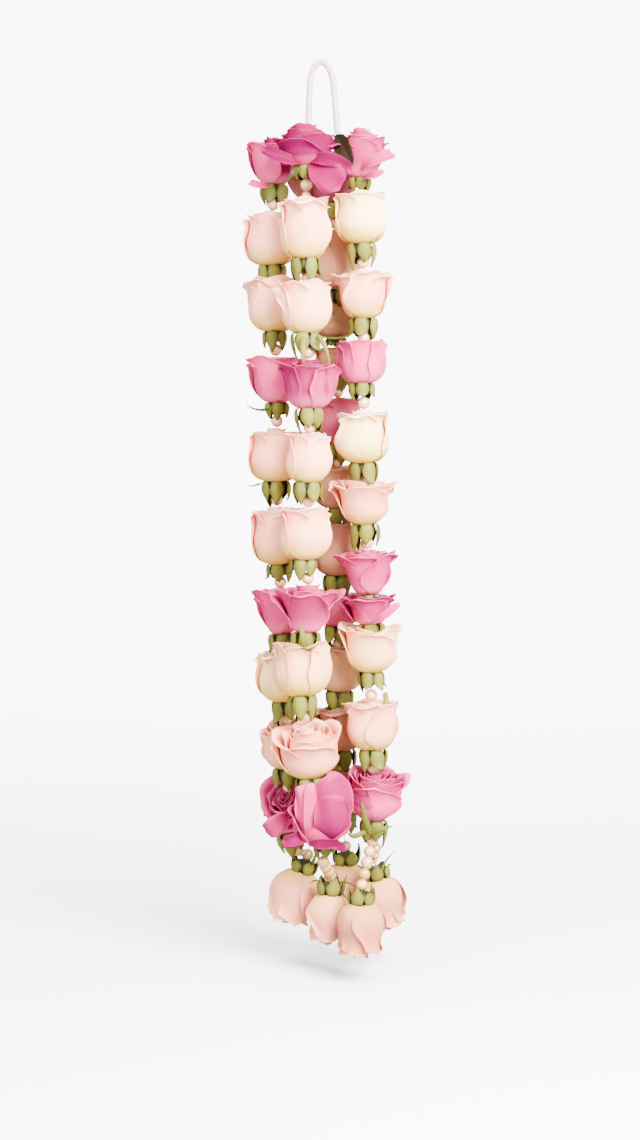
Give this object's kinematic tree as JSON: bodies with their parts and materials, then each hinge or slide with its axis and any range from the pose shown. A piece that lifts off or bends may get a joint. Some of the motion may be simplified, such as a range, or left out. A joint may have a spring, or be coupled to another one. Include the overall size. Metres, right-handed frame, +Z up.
{
  "type": "wedding garland",
  "caption": "Hanging wedding garland: strands of rose heads threaded with pearls, pearl tails that end in upside-down roses, a leaf, and a cord loop to hang it by.",
  "frame": {"origin": "inside the crown of the cord loop, where a hook carries the garland", "axes": "+Z up along the hanging strands, -Y to the garland's front, +X to its right as seen from the front"},
  "size_m": [0.147, 0.131, 0.7955],
  "materials": {
    "petals_pink": "soft, velvety hot pink petals with paler edges",
    "petals_blush": "soft pale pink petals, cream at their foot",
    "petals_cream": "soft cream petals, greenish yellow at their foot",
    "sepal_green": "pale olive outside, dark green inside",
    "leaf_green": "brownish olive, slightly waxy",
    "pearl": "champagne pearl lacquer with a soft sheen",
    "cord_ivory": "smooth ivory satin cord",
    "thread_white": "matte cotton thread"
  },
  "bodies": {
    "root": {"rose_a01": "petals_pink", "rose_a02": "petals_blush", "rose_a03": "petals_blush", "rose_a04": "petals_pink", "rose_a05": "petals_blush", "rose_a06": "petals_blush", "rose_a07": "petals_pink", "rose_a08": "petals_cream", "rose_a09": "petals_blush", "rose_a10": "petals_pink", "rose_b01": "petals_pink", "rose_b02": "petals_blush", "rose_b03": "petals_blush", "rose_b04": "petals_pink", "rose_b05": "petals_blush", "rose_b06": "petals_blush", "rose_b07": "petals_pink", "rose_b08": "petals_cream", "rose_b09": "petals_blush", "rose_b10": "petals_pink", "rose_c01": "petals_pink", "rose_c02": "petals_blush", "rose_c03": "petals_cream", "rose_c04": "petals_blush", "rose_c05": "petals_pink", "rose_c06": "petals_blush", "rose_c07": "petals_blush", "rose_c08": "petals_pink", "rose_c09": "petals_cream", "rose_c10": "petals_blush", "rose_c11": "petals_pink", "rose_d01": "petals_pink", "rose_d02": "petals_cream", "rose_d03": "petals_blush", "rose_d04": "petals_pink", "rose_d05": "petals_cream", "rose_d06": "petals_blush", "rose_d07": "petals_pink", "rose_d08": "petals_pink", "rose_d09": "petals_cream", "rose_d10": "petals_blush", "rose_d11": "petals_pink", "rose_tail_a": "petals_blush", "rose_tail_b": "petals_blush", "rose_tail_c": "petals_blush", "rose_tail_d": "petals_blush", "rose_tail_e": "petals_blush", "string_a": "pearl", "string_b": "pearl", "string_c": "pearl", "string_d": "pearl", "string_e": "pearl", "hanging_loop": "cord_ivory", "binding": "thread_white", "leaf": "leaf_green"}
  },
  "joints": []
}
